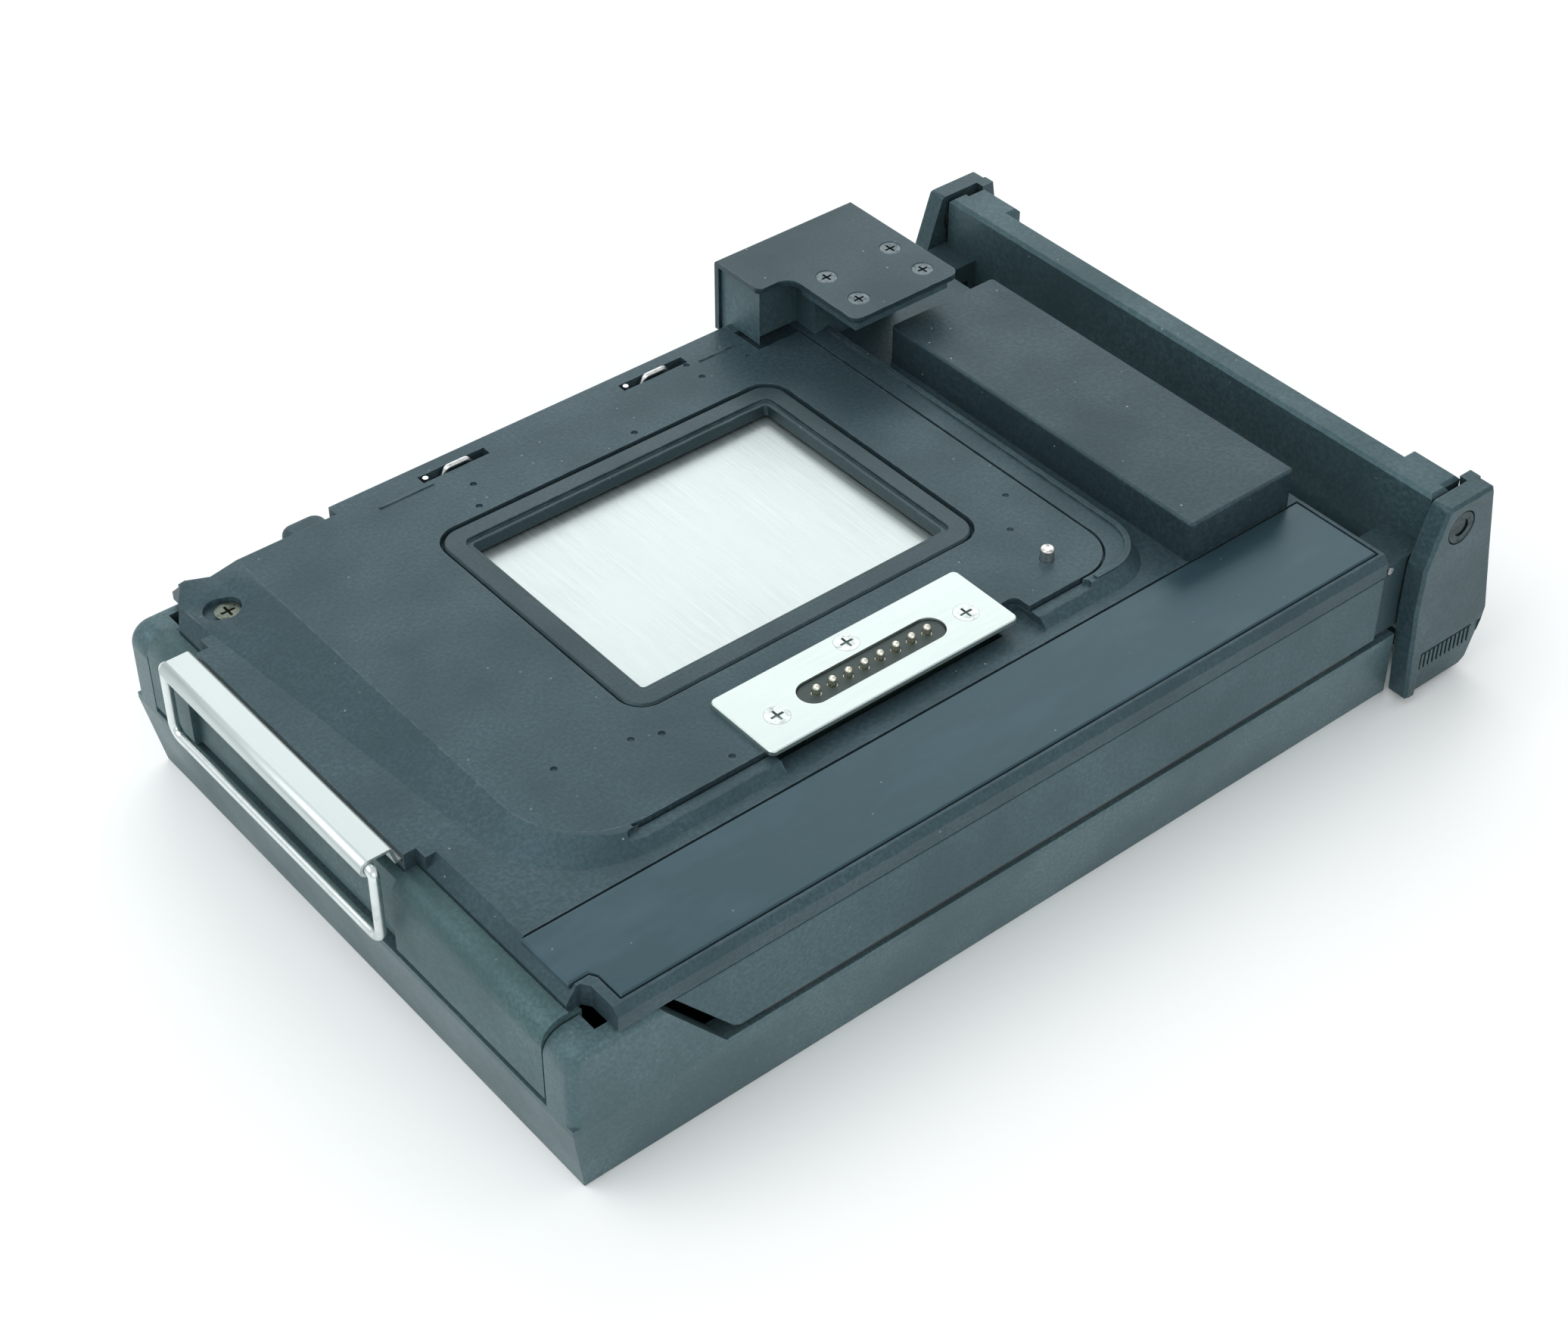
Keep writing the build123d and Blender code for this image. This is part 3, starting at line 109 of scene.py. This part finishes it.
# ---- Material building ----
class Paint:
    """A material under construction: a Principled shader and helpers that wire nodes into it."""

    def __init__(self, name):
        self.material = bpy.data.materials.new(name)
        self.material.use_nodes = True
        self.tree = self.material.node_tree
        self.shader = self.tree.nodes["Principled BSDF"]
        self.place = self.tree.nodes.new("ShaderNodeTexCoord").outputs["Object"]
        self.normal = None

    def node(self, kind, **values):
        made = self.tree.nodes.new(kind)
        for key, value in values.items():
            setattr(made, key, value)
        return made

    def link(self, source, target):
        self.tree.links.new(source, target)

    def stretched(self, x, y, z):
        """Object coordinates scaled by a factor along each axis."""
        mapping = self.node("ShaderNodeMapping")
        mapping.inputs["Scale"].default_value = (x, y, z)
        self.link(self.place, mapping.inputs["Vector"])
        return mapping.outputs["Vector"]

    def noise(self, size_mm, detail=2.0, roughness=0.5, vector=None):
        """Noise whose blotches are about size_mm across."""
        made = self.node("ShaderNodeTexNoise")
        made.inputs["Scale"].default_value = 1000.0 / size_mm
        made.inputs["Detail"].default_value = detail
        made.inputs["Roughness"].default_value = roughness
        self.link(vector or self.place, made.inputs["Vector"])
        return made.outputs["Fac"]

    def cells(self, size_mm):
        """Distance to the middle of cells about size_mm across."""
        made = self.node("ShaderNodeTexVoronoi")
        made.inputs["Scale"].default_value = 1000.0 / size_mm
        self.link(self.place, made.inputs["Vector"])
        return made.outputs["Distance"]

    def spread(self, source, low, high, out_low=0.0, out_high=1.0):
        """Maps low..high of a value to out_low..out_high, and clamps it."""
        made = self.node("ShaderNodeMapRange")
        made.inputs["From Min"].default_value = low
        made.inputs["From Max"].default_value = high
        made.inputs["To Min"].default_value = out_low
        made.inputs["To Max"].default_value = out_high
        self.link(source, made.inputs["Value"])
        return made.outputs["Result"]

    def math(self, operation, first, second):
        made = self.node("ShaderNodeMath", operation=operation)
        for socket, value in zip(made.inputs, (first, second)):
            if isinstance(value, (int, float)):
                socket.default_value = value
            else:
                self.link(value, socket)
        return made.outputs["Value"]

    def blend(self, factor, first, second):
        """Mixes two colours, each a tuple or a socket."""
        made = self.node("ShaderNodeMix", data_type="RGBA")
        self.link(factor, made.inputs[0])
        for socket, value in ((made.inputs[6], first), (made.inputs[7], second)):
            if isinstance(value, tuple):
                socket.default_value = (*value, 1)
            else:
                self.link(value, socket)
        return made.outputs[2]

    def bump(self, height, depth_mm):
        """Adds a relief of depth_mm on top of any earlier one."""
        made = self.node("ShaderNodeBump")
        made.inputs["Strength"].default_value = 1.0
        made.inputs["Distance"].default_value = depth_mm * MM
        self.link(height, made.inputs["Height"])
        if self.normal:
            self.link(self.normal, made.inputs["Normal"])
        self.normal = made.outputs["Normal"]

    def edge_mask(self, radius_mm):
        """1 along edges and corners, 0 on open faces."""
        rounded = self.node("ShaderNodeBevel")
        rounded.inputs["Radius"].default_value = radius_mm * MM
        geometry = self.node("ShaderNodeNewGeometry")
        dot = self.node("ShaderNodeVectorMath", operation="DOT_PRODUCT")
        self.link(rounded.outputs["Normal"], dot.inputs[0])
        self.link(geometry.outputs["Normal"], dot.inputs[1])
        return self.spread(dot.outputs["Value"], 0.995, 0.80)

    def set(self, name, value):
        socket = self.shader.inputs[name]
        if isinstance(value, tuple):
            socket.default_value = (*value, 1)
        elif isinstance(value, (int, float)):
            socket.default_value = value
        else:
            self.link(value, socket)

    def done(self):
        """Wires the relief in and gives back the finished material."""
        if self.normal:
            self.link(self.normal, self.shader.inputs["Normal"])
        return self.material


# Tint of the highlights on black pieces, and the colours that wear and dust bring out
COOL_SHEEN = (0.58, 0.90, 1.0)
MOULDING_WEAR = (0.13, 0.165, 0.175)
MOULDING_DUST = (0.30, 0.32, 0.33)
STRIP_WEAR = (0.20, 0.22, 0.23)
STRIP_DUST = (0.30, 0.33, 0.34)


def black_moulding(name, colour, grain_mm, grain_depth_mm, roughness, wear, dust):
    """Pebbled black plastic or paint, with handling wear on its edges and specks of dust."""
    paint = Paint(name)
    grain = paint.noise(grain_mm, 3.0, 0.6)
    pebbles = paint.cells(grain_mm * 1.3)
    blotches = paint.noise(16.0, 3.0)
    light = tuple(min(1.0, c * 1.5 + 0.006) for c in colour)
    base = paint.blend(paint.spread(grain, 0.40, 0.68), colour, light)
    cloudy = tuple(c * 0.82 for c in colour)
    base = paint.blend(paint.spread(blotches, 0.62, 0.36, 0.0, 0.6), base, cloudy)
    patches = paint.spread(paint.noise(2.2, 4.0), 0.38, 0.66)
    rubbed = paint.math("MULTIPLY", paint.edge_mask(0.35), patches)
    base = paint.blend(paint.math("MULTIPLY", rubbed, wear), base, MOULDING_WEAR)
    specks = paint.spread(paint.cells(2.6), 0.075, 0.045, 0.0, dust)
    chance = paint.spread(paint.noise(7.0, 1.0), 0.50, 0.58)
    base = paint.blend(paint.math("MULTIPLY", specks, chance), base, MOULDING_DUST)
    paint.set("Base Color", base)
    paint.set("Roughness", paint.spread(blotches, 0.3, 0.7, roughness + 0.05, roughness - 0.06))
    paint.set("Specular IOR Level", 0.5)
    paint.set("Specular Tint", COOL_SHEEN)
    paint.bump(paint.math("ADD", grain, paint.math("MULTIPLY", pebbles, 0.6)), grain_depth_mm)
    return paint.done()


def handled_strip(name, colour):
    """Smooth satin plastic with faint smears from handling."""
    paint = Paint(name)
    smears = paint.noise(7.0, 4.0, 0.6, paint.stretched(0.35, 1.0, 1.0))
    fine = paint.noise(0.5, 2.0)
    hazy = tuple(c * 1.7 + 0.01 for c in colour)
    base = paint.blend(paint.spread(smears, 0.46, 0.70, 0.0, 0.55), colour, hazy)
    specks = paint.spread(paint.cells(3.4), 0.055, 0.03, 0.0, 0.5)
    base = paint.blend(specks, base, STRIP_DUST)
    edge = paint.math("MULTIPLY", paint.edge_mask(0.3), 0.35)
    base = paint.blend(edge, base, STRIP_WEAR)
    paint.set("Base Color", base)
    paint.set("Roughness", paint.spread(smears, 0.35, 0.68, 0.27, 0.44))
    paint.set("Specular Tint", COOL_SHEEN)
    paint.bump(fine, 0.006)
    return paint.done()


def brushed_metal(name, colour, along, roughness=0.3, streak=0.10, scratch_depth_mm=0.002):
    """Satin metal with fine brushing along one axis."""
    paint = Paint(name)
    squeeze = {"X": (0.02, 1.0, 1.0), "Y": (1.0, 0.02, 1.0), "Z": (1.0, 1.0, 0.02)}[along]
    lines = paint.noise(0.22, 4.0, 0.7, paint.stretched(*squeeze))
    clouds = paint.noise(22.0, 3.0)
    dull = tuple(c * (1 - streak * 2.2) for c in colour)
    base = paint.blend(paint.spread(lines, 0.35, 0.65), dull, colour)
    hazed = tuple(c * 0.90 for c in colour)
    base = paint.blend(paint.spread(clouds, 0.42, 0.62, 0.0, 0.6), base, hazed)
    paint.set("Base Color", base)
    paint.set("Metallic", 1.0)
    paint.set("Roughness", paint.spread(lines, 0.3, 0.7, roughness - 0.05, roughness + 0.10))
    paint.bump(lines, scratch_depth_mm)
    return paint.done()


def worn_metal(name, colour, tarnish, roughness=0.35, blotch_mm=1.2, grain_depth_mm=0.003):
    """Small turned or plated metal part, spotted with tarnish."""
    paint = Paint(name)
    spots = paint.noise(blotch_mm, 4.0, 0.65)
    paint.set("Base Color", paint.blend(paint.spread(spots, 0.52, 0.70), colour, tarnish))
    paint.set("Metallic", 1.0)
    paint.set("Roughness", paint.spread(spots, 0.35, 0.7, roughness - 0.06, roughness + 0.15))
    paint.bump(paint.noise(0.3, 2.0), grain_depth_mm)
    return paint.done()


def soft_pile(name, colour, size_mm=0.35):
    """Felt or foam with a matt, fibrous surface."""
    paint = Paint(name)
    fibres = paint.noise(size_mm, 5.0, 0.7)
    light = tuple(c * 2.2 + 0.01 for c in colour)
    paint.set("Base Color", paint.blend(paint.spread(fibres, 0.4, 0.7), colour, light))
    paint.set("Roughness", 0.95)
    paint.set("Sheen Weight", 0.3)
    paint.bump(fibres, 0.12)
    return paint.done()


def plain_moulding(name, colour, roughness=0.5):
    """Small moulded part with a faint surface texture."""
    paint = Paint(name)
    texture = paint.noise(0.4, 3.0)
    tint = tuple(c * 1.25 for c in colour)
    paint.set("Base Color", paint.blend(paint.spread(texture, 0.4, 0.65), colour, tint))
    paint.set("Roughness", paint.spread(texture, 0.3, 0.7, roughness - 0.05, roughness + 0.08))
    paint.bump(texture, 0.01)
    return paint.done()


SLATE = (0.024, 0.043, 0.052)

# Each material slot of the record: what builds it, its colour, then that builder's other values
SLOTS = {
    "cover_black": (black_moulding, SLATE, 0.6, 0.030, 0.45, 0.5, 0.6),
    "plate_black": (black_moulding, SLATE, 0.6, 0.022, 0.44, 0.7, 0.5),
    "aperture_black": (black_moulding, (0.014, 0.025, 0.029), 0.5, 0.012, 0.34, 0.9, 0.3),
    "strip_black": (handled_strip, (0.024, 0.047, 0.060)),
    "housing_black": (black_moulding, (0.018, 0.033, 0.040), 0.7, 0.035, 0.46, 0.5, 0.9),
    # core_black is the same black as SLATE, made lighter as painted light on the core's face
    # that turns toward the lamps
    "core_black": (black_moulding, (0.045, 0.080, 0.092), 0.7, 0.02, 0.45, 0.3, 0.2),
    "side_cover_black": (black_moulding, (0.014, 0.028, 0.034), 0.35, 0.012, 0.42, 0.8, 0.7),
    # end_black, side_black and door_black are the same black as SLATE, made lighter as painted
    # light on the end and side faces that turn toward the lamps; end_black also carries painted
    # bounce light in the end panel's recess
    "end_black": (black_moulding, (0.044, 0.080, 0.084), 0.6, 0.02, 0.50, 0.4, 0.3),
    "side_black": (black_moulding, (0.031, 0.060, 0.070), 0.6, 0.02, 0.42, 0.4, 0.3),
    "door_black": (black_moulding, (0.052, 0.088, 0.097), 0.5, 0.018, 0.42, 0.5, 0.3),
    "bar_black": (black_moulding, (0.032, 0.060, 0.068), 0.7, 0.03, 0.45, 0.7, 0.6),
    "latch_black": (black_moulding, (0.024, 0.045, 0.052), 0.7, 0.03, 0.42, 0.6, 0.8),
    "chamber_black": (black_moulding, (0.006, 0.009, 0.010), 0.5, 0.02, 0.6, 0.1, 0.0),
    "frame_metal": (black_moulding, (0.018, 0.034, 0.040), 0.5, 0.01, 0.5, 0.3, 0.1),
    "insulator_grey": (plain_moulding, (0.022, 0.040, 0.036), 0.45),
    "board": (plain_moulding, (0.03, 0.06, 0.04), 0.5),
    "bush_plastic": (plain_moulding, (0.72, 0.70, 0.64), 0.4),
    "washer_plastic": (plain_moulding, (0.008, 0.011, 0.012), 0.4),
    "contact_plate_metal": (brushed_metal, (0.66, 0.735, 0.71), "X", 0.40, 0.05),
    "slide_steel": (brushed_metal, (0.60, 0.66, 0.655), "Y", 0.40, 0.05),
    "leaf_steel": (brushed_metal, (0.60, 0.61, 0.62), "X", 0.3),
    "roller_steel": (brushed_metal, (0.66, 0.67, 0.68), "Y", 0.22),
    "wire_steel": (worn_metal, (0.72, 0.77, 0.77), (0.58, 0.62, 0.61), 0.28, 5.0, 0.001),
    "bright_screw": (worn_metal, (0.55, 0.60, 0.59), (0.36, 0.38, 0.37), 0.26, 0.9),
    "worn_screw": (worn_metal, (0.15, 0.17, 0.14), (0.03, 0.035, 0.03), 0.42, 1.0),
    "black_screw": (worn_metal, (0.13, 0.16, 0.17), (0.05, 0.06, 0.065), 0.36, 0.8),
    "rivet_steel": (worn_metal, (0.040, 0.060, 0.066), (0.015, 0.022, 0.024), 0.35, 1.0),
    "interlock_steel": (worn_metal, (0.62, 0.62, 0.60), (0.16, 0.16, 0.15), 0.32, 0.7),
    "spring_steel": (worn_metal, (0.76, 0.77, 0.76), (0.35, 0.35, 0.33), 0.26, 0.8),
    "pin_steel": (worn_metal, (0.6, 0.6, 0.6), (0.3, 0.3, 0.3), 0.3),
    "barrel_brass": (worn_metal, (0.46, 0.46, 0.40), (0.22, 0.21, 0.17), 0.35, 0.8),
    "contact_gold": (worn_metal, (0.86, 0.84, 0.72), (0.60, 0.55, 0.42), 0.22, 0.6),
    "foam": (soft_pile, (0.012, 0.012, 0.013)),
    "felt": (soft_pile, (0.010, 0.010, 0.011)),
}


def make_materials():
    """One procedural material for each slot."""
    return {name: build(name, *values) for name, (build, *values) in SLOTS.items()}


def paint_nodes():
    materials = make_materials()
    for part in frame["record"]["subparts"]:
        mesh = NODES[part["node"]].data
        mesh.materials.clear()
        mesh.materials.append(materials[part["material_slot"]])


# ---- Softened edges ----
WELD_GAP = 0.00001
BEVEL_SEGMENTS = 2
BEVEL_ANGLE = math.radians(35)
EDGE_WIDTH_MM = {
    "front_cover": 0.30,
    "mount_plate": 0.14,
    "aperture_frame": 0.15,
    "grip_strip": 0.12,
    "back_door": 0.45,
    "side_panel_near": 0.25,
    "side_panel_far": 0.25,
    "end_panel": 0.25,
    "roller_housing": 0.25,
    "side_block_core": 0.25,
    "side_block_cover": 0.15,
    "cross_bar": 0.3,
    "latch_arm_near": 0.2,
    "latch_arm_far": 0.2,
    "dark_slide": 0.08,
    "contact_plate": 0.08,
    "latch_tie_bar": 0.3,
}


def soften_edges():
    """A small real bevel on the sharp edges of the larger pieces."""
    for name, width in EDGE_WIDTH_MM.items():
        node = NODES[name]
        weld = node.modifiers.new("weld", "WELD")
        weld.merge_threshold = WELD_GAP
        bevel = node.modifiers.new("soft_edges", "BEVEL")
        bevel.width = width * MM
        bevel.segments = BEVEL_SEGMENTS
        bevel.limit_method = "ANGLE"
        bevel.angle_limit = BEVEL_ANGLE
        bevel.harden_normals = True
        bevel.use_clamp_overlap = True


make_camera()
make_floor()
make_lights()
paint_nodes()
soften_edges()
